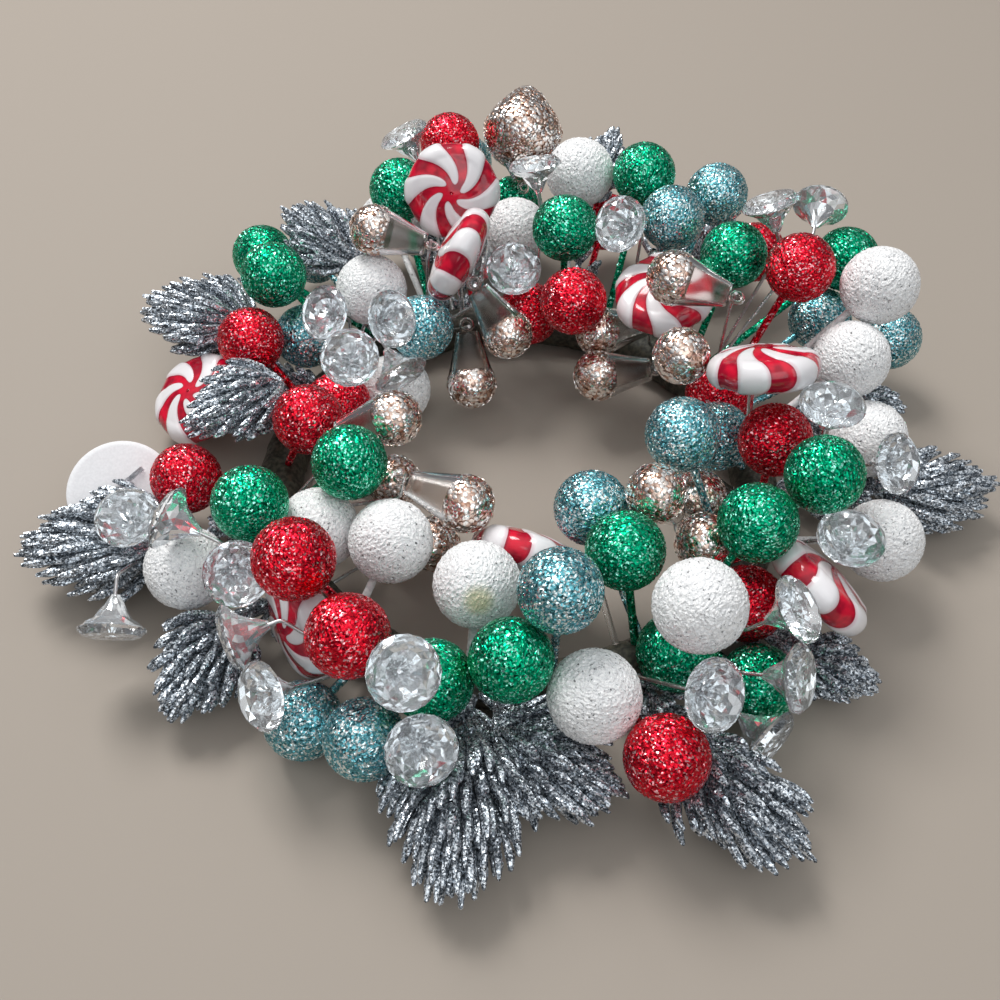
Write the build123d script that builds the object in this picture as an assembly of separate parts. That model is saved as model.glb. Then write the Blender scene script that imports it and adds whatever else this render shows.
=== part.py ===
from build123d import *
import math
import os

import numpy as np

# A candle ring: a taped wire hoop that carries eight mixed picks of glitter balls,
# peppermints, jewels, sequin drops and glittered pine sprigs, each on its own stem.
# Millimetres, +Z up, the hoop's axis is Z and the ring rests on z = 0.

# The taped hoop
HOOP_RADIUS = 64.0
HOOP_WIRE = 3.4
TAPE_DIAMETER = 12.0
REST_FLAT_DEPTH = 0.5
HOOP_FIT = 0.05

# The heads
BALL_DIAMETER = 18.0
SNOW_BALL_DIAMETER = 20.0
MINT_DIAMETER = 27.0
MINT_THICKNESS = 11.0
MINT_DOME = 1.6
JEWEL_DIAMETER = 15.0
JEWEL_TABLE = 8.6
JEWEL_CROWN = 2.8
JEWEL_GIRDLE = 0.7
JEWEL_PAVILION = 6.4
JEWEL_CULET = 2.8
DROP_DIAMETER = 13.5
DROP_LENGTH = 16.0
LARGE_DROP_DIAMETER = 24.0
LARGE_DROP_LENGTH = 17.0
DROP_NECK = 7.4
EYELET_DIAMETER = 4.4
EYELET_HOLE = 2.0
EYELET_THICKNESS = 1.8

# The stems and wires, and how deep they sit in what they carry
BALL_STEM = 2.0
MINT_STEM = 1.6
FINE_WIRE = 0.9
BALL_SOCKET = 4.0
MINT_SOCKET = 4.0
JEWEL_SOCKET = 2.0
SOCKET_FIT = 0.05
SEAT_GAP = 0.06
WIRE_BEND = 2.2
WIRE_LEAD = 4.5

# The pine sprigs
SPRIG_STALK = 2.4
SPRIG_CORE = 5.0
SPRIG_CORE_TIP = 3.6
NEEDLE_PITCH = 1.2
NEEDLE_ROOT = 1.5
NEEDLE_TIP = 2.3
NEEDLE_SPREAD = 68.0
NEEDLE_TIP_SPREAD = 24.0
NEEDLE_FLATTEN = 0.55
SPRIG_CORE_SHARE = 0.5
GOLDEN_ANGLE = math.pi * (3 - math.sqrt(5))

# Room kept between neighbours, over the floor and round the candle
CLEARANCE = 0.35
FLOOR_GAP = 0.8
CANDLE_ROOM = 48.0

TAPE_RADIUS = TAPE_DIAMETER / 2
HOOP_RISE = TAPE_RADIUS - REST_FLAT_DEPTH
UP = np.array([0.0, 0.0, 1.0])

# Places of the balls: angle round the ring in degrees, reach from the axis, rise above the floor
RED_BALLS = {
    "inner": [(179, 54, 28), (156, 52, 14), (68, 41, 36), (86, 52, 20)],
    "top": [(156, 81, 26), (229, 74, 44), (243, 80, 38), (29, 83, 50), (351, 63, 38),
            (320, 71, 15), (17, 59, 16)],
    "outer": [(102, 104, 45), (187, 86, 18), (288, 95, 26), (74, 106, 16), (48, 112, 18)],
}
GREEN_BALLS = {
    "inner": [(209, 46, 33), (296, 52, 36)],
    "top": [(144, 84, 36), (207, 70, 33), (258, 77, 28), (268, 75, 33), (321, 68, 40),
            (335, 76, 44), (76, 59, 46), (39, 76, 44), (299, 68, 12)],
    "outer": [(112, 91, 40), (136, 106, 24), (311, 83, 12), (64, 88, 46), (32, 110, 34),
              (90, 106, 20)],
}
SNOW_BALLS = {
    "inner": [(224, 46, 24), (259, 52, 28), (137, 45, 14)],
    "top": [(131, 63, 30), (213, 58, 16), (280, 81, 28), (299, 76, 42), (90, 83, 26)],
    "outer": [(206, 89, 18), (18, 99, 46), (12, 90, 34), (341, 94, 18), (1, 92, 20),
              (78, 92, 42), (112, 106, 18)],
}
ICE_BALLS = {
    "inner": [(121, 46, 24), (338, 42, 40), (2, 52, 22), (292, 37, 28)],
    "top": [(144, 75, 18), (58, 81, 44), (276, 67, 46)],
    "outer": [(54, 101, 40), (245, 89, 14), (236, 84, 10), (22, 116, 18), (30, 103, 20),
              (98, 118, 28), (126, 108, 14)],
}

# Places of the other heads: angle, reach, rise, then the way they face as turn and tilt in degrees.
# A mint and a jewel face along that way, a drop's tail and a sprig point along it.
MINTS = {
    "inner": [(43, 55, 40, 218, 76), (358, 59, 48, 99, 58), (108, 52, 40, 165, 25),
              (271, 34, 20, 250, -30)],
    "outer": [(104, 77, 46, 270, 29), (324, 84, 24, 28, 40), (165, 92, 13, 219, 63),
              (228, 77, 20, 214, 11)],
}
JEWELS = {
    "inner": [(91, 51, 36, 270, 60), (141, 44, 38, 324, 35), (161, 46, 36, 270, 55),
              (146, 39, 26, 303, -25)],
    "top": [(86, 79, 50, 112, 66), (62, 60, 50, 223, 39), (100, 61, 32, 179, 14),
            (37, 85, 56, 129, 61), (347, 73, 50, 90, 88), (144, 64, 32, 228, 42),
            (254, 87, 44, 300, 50), (219, 80, 30, 300, 40), (312, 86, 36, 354, 45)],
    "outer": [(108, 103, 48, 150, 60), (37, 107, 46, 71, 13), (350, 93, 30, 314, 41),
              (328, 86, 36, 270, 86), (294, 92, 36, 312, 42), (308, 94, 26, 336, 26),
              (303, 97, 14, 312, 2), (257, 93, 26, 285, 45), (234, 94, 26, 219, 30),
              (228, 90, 28, 199, -9), (197, 99, 24, 270, 72), (207, 88, 37, 160, 15),
              (211, 109, 20, 270, -25)],
}
DROPS = {
    "inner": [(98, 38, 26, 138, 41), (115, 33, 14, 97, 45), (52, 37, 18, 9, 1),
              (59, 46, 22, 14, -1), (193, 32, 36, 185, -17), (200, 34, 18, 160, -23),
              (251, 33, 28, 158, 5), (232, 36, 14, 160, -23)],
    "top": [(124, 69, 44, 348, -10), (38, 50, 46, 342, -8), (7, 41, 46, 90, -30),
            (313, 45, 38, 39, -60), (319, 57, 26, 6, -8), (339, 51, 18, 37, -36)],
}
LARGE_DROP = (90, 110, 44, 270, -42)

# Sprigs: angle, reach and rise of the base, turn and tilt of the spine, and its overall length
SPRIGS = [
    (149, 89, 21, 165, 1, 31), (126, 78, 29, 144, 18, 26), (164, 66, 25, 216, -2, 26),
    (196, 91, 13, 188, 1, 34), (216, 84, 12, 244, -3, 26), (261, 80, 13, 266, -3, 35),
    (266, 80, 15, 326, -5, 29), (294, 90, 13, 308, -4, 31), (319, 88, 9, 331, 0, 17),
    (355, 97, 10, 4, 2, 27), (13, 92, 16, 328, 14, 16), (76, 101, 31, 66, 38, 18),
    (103, 90, 12, 100, 6, 32), (58, 94, 12, 55, 5, 32),
]


def polar(angle, reach, rise):
    """The point at an angle round the ring, a reach from its axis and a rise above the floor."""
    a = math.radians(angle)
    return np.array([reach * math.cos(a), reach * math.sin(a), rise])


def facing(turn, tilt):
    """The unit vector that points along a turn round Z and a tilt above the horizon."""
    t, e = math.radians(turn), math.radians(tilt)
    return np.array([math.cos(e) * math.cos(t), math.cos(e) * math.sin(t), math.sin(e)])


def unit(v):
    return v / np.linalg.norm(v)


def across(axis, toward):
    """The unit vector square to axis that leans most toward another vector."""
    flat = toward - axis * np.dot(toward, axis)
    if np.linalg.norm(flat) < 1e-6:
        flat = np.cross(axis, UP + axis[[1, 2, 0]])
    return unit(flat)


def frame_at(origin, z_dir, x_dir=None):
    """A placement with its Z along z_dir and, if given, its X along x_dir."""
    if x_dir is None:
        return Plane(origin=tuple(origin), z_dir=tuple(z_dir)).location
    return Plane(origin=tuple(origin), x_dir=tuple(x_dir), z_dir=tuple(z_dir)).location


# How much room each head takes, as spheres round its own place


def ball_room(diameter):
    return [(np.zeros(3), diameter / 2)]


def mint_room(axis):
    edge = MINT_THICKNESS / 2
    ring = MINT_DIAMETER / 2 - edge
    side = across(axis, UP)
    other = np.cross(axis, side)
    turns = [2 * math.pi * k / 14 for k in range(14)]
    rim = [(ring * (math.cos(t) * side + math.sin(t) * other), edge) for t in turns]
    inner = [(offset / 2, edge) for offset, _ in rim[::2]]
    return [(np.zeros(3), edge)] + inner + rim


def jewel_room(axis):
    edge = JEWEL_CROWN * 1.1
    ring = JEWEL_DIAMETER / 2 - edge
    side = across(axis, UP)
    other = np.cross(axis, side)
    turns = [2 * math.pi * k / 10 for k in range(10)]
    spokes = [math.cos(t) * side + math.sin(t) * other for t in turns]
    rim = [(ring * spoke, edge) for spoke in spokes]
    skirt = [(0.6 * ring * spoke - axis * JEWEL_PAVILION * 0.36, edge * 0.9) for spoke in spokes]
    return [(np.zeros(3), edge * 1.2), (-axis * JEWEL_PAVILION * 0.74, edge * 0.8)] + rim + skirt


def drop_room(axis, diameter, length):
    spans = [0.0, 0.25, 0.5, 0.75]
    thick = [1.0, 0.92, 0.78, 0.64]
    room = [(axis * length * s, diameter / 2 * t) for s, t in zip(spans, thick)]
    return room + [(axis * length, EYELET_DIAMETER / 2)]


class Head:
    """One ornament: its kind, its place, the way it faces and the room that it takes."""

    def __init__(self, kind, group, place, axis, room):
        self.kind = kind
        self.group = group
        self.place = place
        self.axis = axis
        self.offsets = np.array([o for o, _ in room])
        self.radii = np.array([r for _, r in room])


def all_heads():
    """Every ornament of the ring, in the order that the tables list them."""
    heads = []
    colours = (
        ("red", RED_BALLS, BALL_DIAMETER),
        ("green", GREEN_BALLS, BALL_DIAMETER),
        ("snow", SNOW_BALLS, SNOW_BALL_DIAMETER),
        ("ice", ICE_BALLS, BALL_DIAMETER),
    )
    for colour, rows, diameter in colours:
        for row, places in rows.items():
            for place in places:
                group = f"{colour}_balls_{row}"
                heads.append(Head(colour, group, polar(*place), None, ball_room(diameter)))
    for row, places in MINTS.items():
        for *place, turn, tilt in places:
            axis = facing(turn, tilt)
            heads.append(Head("mint", f"peppermints_{row}", polar(*place), axis, mint_room(axis)))
    for row, places in JEWELS.items():
        for *place, turn, tilt in places:
            axis = facing(turn, tilt)
            heads.append(Head("jewel", f"jewels_{row}", polar(*place), axis, jewel_room(axis)))
    for row, places in DROPS.items():
        for *place, turn, tilt in places:
            axis = facing(turn, tilt)
            room = drop_room(axis, DROP_DIAMETER, DROP_LENGTH)
            heads.append(Head("drop", f"sequin_drops_{row}", polar(*place), axis, room))
    *place, turn, tilt = LARGE_DROP
    axis = facing(turn, tilt)
    room = drop_room(axis, LARGE_DROP_DIAMETER, LARGE_DROP_LENGTH)
    heads.append(Head("large_drop", "sequin_drop_large", polar(*place), axis, room))
    return heads


def settle(heads, rounds=400):
    """Moves the heads apart until each keeps its clearance from the others, the tape, the floor
    and the room of the candle, as crowded picks do when they are bent into place."""
    owner = np.concatenate([[k] * len(h.radii) for k, h in enumerate(heads)])
    offsets = np.vstack([h.offsets for h in heads])
    radii = np.concatenate([h.radii for h in heads])
    places = np.array([h.place for h in heads])
    foreign = owner[:, None] != owner[None, :]
    for _ in range(rounds):
        points = places[owner] + offsets
        push = np.zeros_like(points)
        gap = points[:, None, :] - points[None, :, :]
        apart = np.linalg.norm(gap, axis=2)
        short = np.where(foreign, radii[:, None] + radii[None, :] + CLEARANCE - apart, 0.0)
        short = np.clip(short, 0.0, None)
        push += 0.5 * (gap / (apart[:, :, None] + 1e-9) * short[:, :, None]).sum(axis=1)
        reach = np.linalg.norm(points[:, :2], axis=1)
        outward = np.c_[points[:, :2] / (reach[:, None] + 1e-9), np.zeros(len(points))]
        from_hoop = points - np.c_[outward[:, :2] * HOOP_RADIUS, np.full(len(points), HOOP_RISE)]
        off_hoop = np.linalg.norm(from_hoop, axis=1)
        short = np.clip(radii + TAPE_RADIUS + 2 * CLEARANCE - off_hoop, 0.0, None)
        push += from_hoop / (off_hoop[:, None] + 1e-9) * short[:, None]
        push += UP * np.clip(radii + FLOOR_GAP - points[:, 2], 0.0, None)[:, None]
        push += outward * np.clip(CANDLE_ROOM / 2 + radii - reach, 0.0, None)[:, None]
        moves = np.zeros_like(places)
        counts = np.zeros(len(places))
        pushed = np.linalg.norm(push, axis=1) > 1e-9
        np.add.at(moves, owner[pushed], push[pushed])
        np.add.at(counts, owner[pushed], 1)
        places += 0.7 * moves / np.maximum(counts, 1)[:, None]
        if np.abs(moves).max() < 0.005:
            break
    for head, place in zip(heads, places):
        head.place = place


class Crowd:
    """What already takes up room, as round bars between two points; a ball is a bar of no length."""

    def __init__(self):
        self.bars = []
        self.table = None

    def add(self, start, end, radius, owner):
        self.bars.append((start, end - start, radius, owner))
        self.table = None

    def room(self, start, end, radius, owner=None):
        """The least gap between a new bar and the crowd, leaving out what the same owner holds."""
        if self.table is None:
            starts, runs, radii, owners = zip(*self.bars)
            runs = np.array(runs)
            squares = np.maximum((runs * runs).sum(axis=1), 1e-9)
            self.table = np.array(starts), runs, np.array(radii), squares, np.array(owners)
        starts, runs, radii, squares, owners = self.table
        count = max(int(np.linalg.norm(end - start) / 0.8), 2)
        points = start + np.linspace(0.0, 1.0, count)[:, None] * (end - start)
        from_start = points[:, None, :] - starts
        share = np.clip(np.einsum("pbi,bi->pb", from_start, runs) / squares, 0.0, 1.0)
        gap = from_start - share[:, :, None] * runs
        apart = np.sqrt(np.einsum("pbi,pbi->pb", gap, gap)) - radii
        return float(np.where(owners == owner, np.inf, apart).min() - radius)


def hoop_point(angle):
    return polar(angle, HOOP_RADIUS, HOOP_RISE)


def leaves_tape(inside, outside):
    """Where a bar from the hoop's centre line comes out of the tape, and how squarely it does."""
    way = unit(outside - inside)
    along = np.cross(UP, inside * [1, 1, 0])
    slant = math.sqrt(max(1.0 - np.dot(way, unit(along)) ** 2, 1e-6))
    return inside + way * (TAPE_RADIUS + CLEARANCE) / slant, slant


def feet_near(point, reach, step):
    """Places on the hoop's centre line, the nearest to a point first."""
    home = math.degrees(math.atan2(point[1], point[0]))
    yield hoop_point(home)
    for turn in range(step, reach + 1, step):
        yield hoop_point(home + turn)
        yield hoop_point(home - turn)


def knees_between(start, end):
    """Points to the side of a run, the nearest first, where a wire may bend round what is in its way."""
    way = unit(end - start)
    side = across(way, UP)
    for out in (6.0, 10.0, 14.0):
        for turn in range(0, 360, 60):
            for share in (0.5, 0.75):
                yield start + (end - start) * share + out * turn_about(side, way, turn)


def run_room(crowd, owner, points, radius):
    """The least room along a stem that passes through its points."""
    return min([crowd.room(a, b, radius, owner) for a, b in zip(points, points[1:])] or [math.inf])


def choose_stem(crowd, owner, ways_out, radius):
    """A run from the hoop to a head that clears everything, straight if there is one, or else
    with a knee. Each way out is a list of the points that the stem passes, the last in the head."""
    best = (-math.inf, None, None)
    inner = [run_room(crowd, owner, points, radius) for points in ways_out]
    open_ways = [points for points, room in zip(ways_out, inner) if room > CLEARANCE] or ways_out
    for bent in (False, True):
        for points in open_ways:
            for foot in feet_near(points[0], 60 if bent else 45, 10 if bent else 1):
                knees = knees_between(foot, points[0]) if bent else [None]
                for knee in knees:
                    bends = [points[0]] if knee is None else [knee, points[0]]
                    start, slant = leaves_tape(foot, bends[0])
                    if slant < 0.5 or min(start[2], bends[0][2]) < radius + FLOOR_GAP:
                        continue
                    room = run_room(crowd, owner, [start, *bends], radius)
                    if room > best[0]:
                        best = (room, foot, bends[:-1] + points)
                    if room > CLEARANCE:
                        return best
    return best


def ways_out_of(head):
    """The ways a stem can come to a head: points from its lead outside to its tip inside."""
    if head.axis is None:
        return [[head.place]]
    toward = hoop_point(math.degrees(math.atan2(head.place[1], head.place[0]))) - head.place
    if head.kind == "jewel":
        culet = head.place - head.axis * (JEWEL_PAVILION + JEWEL_GIRDLE / 2)
        tip = culet + head.axis * JEWEL_SOCKET
        return [[culet - head.axis * lead, tip] for lead in (WIRE_LEAD, 0.6 * WIRE_LEAD, 2 * WIRE_LEAD)]
    turns = [0] + [side * step for step in range(20, 180, 20) for side in (1, -1)]
    sides = [turn_about(across(head.axis, toward), head.axis, turn) for turn in turns]
    if head.kind == "mint":
        rim = MINT_DIAMETER / 2
        centre, depth = head.place, rim - MINT_SOCKET
        return [[centre + side * (rim + WIRE_LEAD), centre + side * depth] for side in sides]
    length = LARGE_DROP_LENGTH if head.kind == "large_drop" else DROP_LENGTH
    eye = head.place + head.axis * length
    return [[eye + side * WIRE_LEAD, eye - side * EYELET_THICKNESS] for side in sides]


def turn_about(v, axis, degrees):
    """A vector turned about an axis."""
    a = math.radians(degrees)
    return v * math.cos(a) + np.cross(axis, v) * math.sin(a) + axis * np.dot(axis, v) * (1 - math.cos(a))


# The solids


def hoop_solids():
    """The steel hoop and the tape wound over it, pressed flat where the ring rests."""
    hoop = Pos(0, 0, HOOP_RISE) * Torus(HOOP_RADIUS, HOOP_WIRE / 2)
    bore = Pos(0, 0, HOOP_RISE) * Torus(HOOP_RADIUS, HOOP_WIRE / 2 + HOOP_FIT)
    tape = Pos(0, 0, HOOP_RISE) * Torus(HOOP_RADIUS, TAPE_RADIUS)
    below = Pos(0, 0, -TAPE_DIAMETER) * Cylinder(
        HOOP_RADIUS + TAPE_DIAMETER, TAPE_DIAMETER, align=(Align.CENTER, Align.CENTER, Align.MIN)
    )
    return hoop, tape - bore - below


def rod(points, radius):
    """A round wire through its points, bent at each corner on as wide an arc as its runs allow."""
    corners = [points[0]]
    bends = []
    for before, corner, after in zip(points, points[1:], points[2:]):
        into, out = corner - corners[-1], after - corner
        turn = math.acos(np.clip(np.dot(unit(into), unit(out)), -1.0, 1.0))
        if math.degrees(turn) > 4.0:
            shorter = min(np.linalg.norm(into), np.linalg.norm(out))
            bends.append(min(WIRE_BEND, 0.45 * shorter / math.tan(turn / 2)))
            corners.append(corner)
    corners.append(points[-1])
    if not bends:
        run = corners[1] - corners[0]
        bar = Cylinder(radius, np.linalg.norm(run), align=(Align.CENTER, Align.CENTER, Align.MIN))
        return frame_at(corners[0], run) * bar
    path = FilletPolyline(*[tuple(p) for p in corners], radius=bends)
    return sweep(Plane(origin=path @ 0, z_dir=path % 0) * Circle(radius), path=path)


def ball_form(diameter):
    """A ball at the origin with its stem's socket opening along -Z."""
    socket = Cylinder(
        BALL_STEM / 2 + SOCKET_FIT, diameter, align=(Align.CENTER, Align.CENTER, Align.MAX)
    )
    return Sphere(diameter / 2) - Pos(0, 0, BALL_SOCKET - diameter / 2) * socket


def mint_form():
    """A mint at the origin facing Z: two shallow domes on a full round rim, with a socket along X."""
    edge = MINT_THICKNESS / 2 - MINT_DOME
    ring = MINT_DIAMETER / 2 - edge
    curve = (ring**2 + MINT_DOME**2) / (2 * MINT_DOME)
    top = MINT_THICKNESS / 2
    half = top - curve + math.sqrt(curve**2 - ring**2 / 4)
    with BuildPart() as mint:
        with BuildSketch(Plane.XZ):
            with BuildLine():
                ThreePointArc((0, top), (ring / 2, half), (ring, edge))
                ThreePointArc((ring, edge), (ring + edge, 0), (ring, -edge))
                ThreePointArc((ring, -edge), (ring / 2, -half), (0, -top))
                Line((0, -top), (0, top))
            make_face()
        revolve(axis=Axis.Z)
    socket = Cylinder(MINT_STEM / 2 + SOCKET_FIT, 2 * MINT_SOCKET, rotation=(0, 90, 0))
    return mint.part - Pos(MINT_DIAMETER / 2, 0, 0) * socket


def facet_cone(sides, low, low_z, high, high_z, turn):
    """A faceted cone between two regular polygons given by their flats' radius."""
    scale = 1 / math.cos(math.pi / sides)
    bottom = Pos(0, 0, low_z) * Rot(0, 0, turn) * RegularPolygon(low * scale, sides)
    top = Pos(0, 0, high_z) * Rot(0, 0, turn) * RegularPolygon(high * scale, sides)
    return loft([bottom, top], ruled=True)


def jewel_form():
    """A brilliant cut jewel facing Z, its girdle at z = 0, with the wire's socket in its culet."""
    radius = JEWEL_DIAMETER / 2
    girdle = JEWEL_GIRDLE / 2
    top = girdle + JEWEL_CROWN
    foot = -girdle - JEWEL_PAVILION
    main = facet_cone(8, radius, girdle, JEWEL_TABLE / 2, top, 0)
    star = facet_cone(8, radius * 1.02, girdle, JEWEL_TABLE / 2 * 1.04, top, 22.5)
    crown = main & star
    keel = facet_cone(8, JEWEL_CULET / 2, foot, radius, -girdle, 0)
    skirt = facet_cone(8, JEWEL_CULET / 2 * 1.1, foot, radius * 1.03, -girdle, 22.5)
    pavilion = keel & skirt
    belt = extrude(Pos(0, 0, -girdle) * RegularPolygon(radius / math.cos(math.pi / 8), 8), JEWEL_GIRDLE)
    band = extrude(
        Pos(0, 0, -girdle) * Rot(0, 0, 22.5) * RegularPolygon(radius / math.cos(math.pi / 8), 8),
        JEWEL_GIRDLE,
    )
    socket = Cylinder(
        FINE_WIRE / 2 + SOCKET_FIT, JEWEL_SOCKET, align=(Align.CENTER, Align.CENTER, Align.MIN)
    )
    return crown + pavilion + (belt & band) - Pos(0, 0, foot) * socket


def drop_form(diameter, length):
    """A drop with its bulb at the origin and its tail along Z, ending in an eyelet whose hole is along X."""
    bulb = diameter / 2
    neck = DROP_NECK / 2
    shoulder = math.radians(24)
    tail_end = length - EYELET_HOLE / 2 - 0.8
    widest = (bulb * math.cos(shoulder), bulb * math.sin(shoulder))
    with BuildPart() as drop:
        with BuildSketch(Plane.XZ):
            with BuildLine():
                ThreePointArc((0, -bulb), (bulb * math.cos(math.pi / 4), -bulb * math.sin(math.pi / 4)), widest)
                leaving = [(-math.sin(shoulder), math.cos(shoulder)), (-0.12, 1)]
                Spline(widest, (neck, tail_end), tangents=leaving)
                Polyline((neck, tail_end), (0, tail_end), (0, -bulb))
            make_face()
        revolve(axis=Axis.Z)
    with BuildPart() as eyelet:
        with BuildSketch(Plane.YZ.offset(-EYELET_THICKNESS / 2)):
            with Locations((0, length)):
                Circle(EYELET_DIAMETER / 2)
            with Locations((0, tail_end - 0.5)):
                Rectangle(EYELET_DIAMETER * 0.8, length - tail_end + 1.0, align=(Align.CENTER, Align.MIN))
            with Locations((0, length)):
                Circle(EYELET_HOLE / 2, mode=Mode.SUBTRACT)
        extrude(amount=EYELET_THICKNESS)
    return drop.part + eyelet.part


def needle(start, way, length):
    """One four-sided needle that thickens toward its glitter-laden tip."""
    place = frame_at(start, way)
    root = place * Rectangle(NEEDLE_ROOT, NEEDLE_ROOT)
    tip = place * Pos(0, 0, length) * Rectangle(NEEDLE_TIP, NEEDLE_TIP)
    return loft([root, tip], ruled=True)


def grow_needles(base, axis, length):
    """Where a sprig's needles start, which way they go and how far: a flattened fan, wide at its
    base, that closes toward the tip. The needles wind round the core by the golden angle."""
    side = unit(np.cross(axis, UP))
    lift = np.cross(side, axis)
    core_length = SPRIG_CORE_SHARE * length
    count = round(length / NEEDLE_PITCH)
    for k in range(count):
        share = (k + 0.5) / count
        roll = k * GOLDEN_ANGLE
        open_angle = math.radians(NEEDLE_SPREAD * (1 - share) + NEEDLE_TIP_SPREAD * share)
        sideways = math.cos(roll) * side + NEEDLE_FLATTEN * math.sin(roll) * lift
        way = unit(axis * math.cos(open_angle) + sideways * math.sin(open_angle))
        thick = (SPRIG_CORE * (1 - share) + SPRIG_CORE_TIP * share) / 2
        out = math.cos(roll) * side + math.sin(roll) * lift
        start = base + axis * core_length * share + out * (thick - NEEDLE_ROOT / 3)
        yield start, way, length * (0.6 - 0.12 * abs(math.sin(1.7 * roll)))
    yield base + axis * (core_length - NEEDLE_ROOT), axis, length - core_length + NEEDLE_ROOT


def sprig_form(foot, route, axis, length, needles, seat):
    """A sprig in one piece: its stalk from the tape, its core and the needles that grew on it."""
    base = route[-1]
    core_end = base + axis * SPRIG_CORE_SHARE * length
    stalk = rod([foot, *route[:-1], base + axis * SPRIG_CORE / 4], SPRIG_STALK / 2) - seat
    low = frame_at(base, axis) * RegularPolygon(SPRIG_CORE / 2, 8)
    high = frame_at(core_end, axis) * RegularPolygon(SPRIG_CORE_TIP / 2, 8)
    core = loft([low, high], ruled=True)
    return stalk.fuse(core, *[needle(*n) for n in needles])


def export(name, solids):
    export_step(Compound(children=solids), os.path.join("parts", name + ".step"))


def main():
    os.makedirs("parts", exist_ok=True)
    heads = all_heads()
    before = np.array([h.place for h in heads])
    settle(heads)
    shift = np.linalg.norm(np.array([h.place for h in heads]) - before, axis=1)
    print("settled heads: largest shift %.1f mm, mean %.1f mm" % (shift.max(), shift.mean()))

    # A drop's wire keeps clear of its own bulb too, so the bulb has no owner
    crowd = Crowd()
    for number, head in enumerate(heads):
        for offset, radius in zip(head.offsets, head.radii):
            bulb = head.kind in ("drop", "large_drop") and not offset.any()
            crowd.add(head.place + offset, head.place + offset, radius, -1 if bulb else number)

    hoop, tape = hoop_solids()
    seat = Pos(0, 0, HOOP_RISE) * Torus(HOOP_RADIUS, TAPE_RADIUS + SEAT_GAP)
    export("wire_hoop", [hoop])
    export("tape_wrap", [tape])

    # The sprigs' stalks take their way first, because they are the stiffest
    stalks = []
    for number, (angle, reach, rise, turn, tilt, length) in enumerate(SPRIGS, 1):
        owner = len(heads) + number
        base, axis = polar(angle, reach, rise), facing(turn, tilt)
        core_end = base + axis * SPRIG_CORE_SHARE * length
        room, foot, route = choose_stem(crowd, owner, [[base]], SPRIG_STALK / 2)
        core_room = crowd.room(base, core_end, SPRIG_CORE / 2, owner)
        if min(room, core_room) < CLEARANCE:
            print("sprig %d: stalk room %.1f, core room %.1f" % (number, room, core_room))
        for a, b in zip([leaves_tape(foot, route[0])[0], *route[:-1]], route):
            crowd.add(a, b, SPRIG_STALK / 2, owner)
        crowd.add(base, core_end, SPRIG_CORE / 2, owner)
        stalks.append((number, owner, foot, route, axis, length))

    # Each head takes its stem by the clearest way that is left
    nodes = {}
    for number, head in enumerate(heads):
        radius = STEM_DIAMETERS[head.kind] / 2
        room, foot, route = choose_stem(crowd, number, ways_out_of(head), radius)
        if room < CLEARANCE:
            angle = math.degrees(math.atan2(head.place[1], head.place[0])) % 360
            print("%s at %.0f deg: stem room %.2f" % (head.group, angle, room))
        start = leaves_tape(foot, route[0])[0]
        for a, b in zip([start, *route[:-1]], route):
            crowd.add(a, b, radius, number)
        if head.axis is None:
            way = unit(head.place - (foot if len(route) == 1 else route[-2]))
            route[-1] = head.place - way * (head.radii[0] - BALL_SOCKET)
            place = frame_at(head.place, way)
        else:
            place = frame_at(head.place, head.axis, across(head.axis, route[-2] - route[-1]))
        nodes.setdefault(head.group, []).append(place * FORMS[head.kind])
        nodes.setdefault(STEM_NODES[head.kind], []).append(rod([foot, *route], radius) - seat)
    for name, solids in nodes.items():
        export(name, solids)

    strands = 0
    for number, owner, foot, route, axis, length in stalks:
        kept = []
        for start, way, reach in grow_needles(route[-1], axis, length):
            end = start + way * reach
            thick = NEEDLE_TIP * 0.71
            if end[2] > thick + FLOOR_GAP and crowd.room(start, end, thick, owner) > CLEARANCE:
                kept.append((start, way, reach))
        for start, way, reach in kept:
            crowd.add(start, start + way * reach, NEEDLE_TIP * 0.71, owner)
        strands += len(kept)
        print("sprig %d: %d needles" % (number, len(kept)))
        export(f"pine_sprig_{number}", [sprig_form(foot, route, axis, length, kept, seat)])
    print("needles in all:", strands)


STEM_DIAMETERS = {
    "red": BALL_STEM, "green": BALL_STEM, "snow": BALL_STEM, "ice": BALL_STEM,
    "mint": MINT_STEM, "jewel": FINE_WIRE, "drop": FINE_WIRE, "large_drop": FINE_WIRE,
}
STEM_NODES = {
    "red": "red_ball_stems", "green": "green_ball_stems", "snow": "snow_ball_stems",
    "ice": "ice_ball_stems", "mint": "peppermint_stems", "jewel": "jewel_wires",
    "drop": "drop_wires", "large_drop": "drop_wires",
}
FORMS = {
    "red": ball_form(BALL_DIAMETER), "green": ball_form(BALL_DIAMETER),
    "snow": ball_form(SNOW_BALL_DIAMETER), "ice": ball_form(BALL_DIAMETER),
    "mint": mint_form(), "jewel": jewel_form(),
    "drop": drop_form(DROP_DIAMETER, DROP_LENGTH),
    "large_drop": drop_form(LARGE_DROP_DIAMETER, LARGE_DROP_LENGTH),
}
main()
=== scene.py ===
import math

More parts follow.
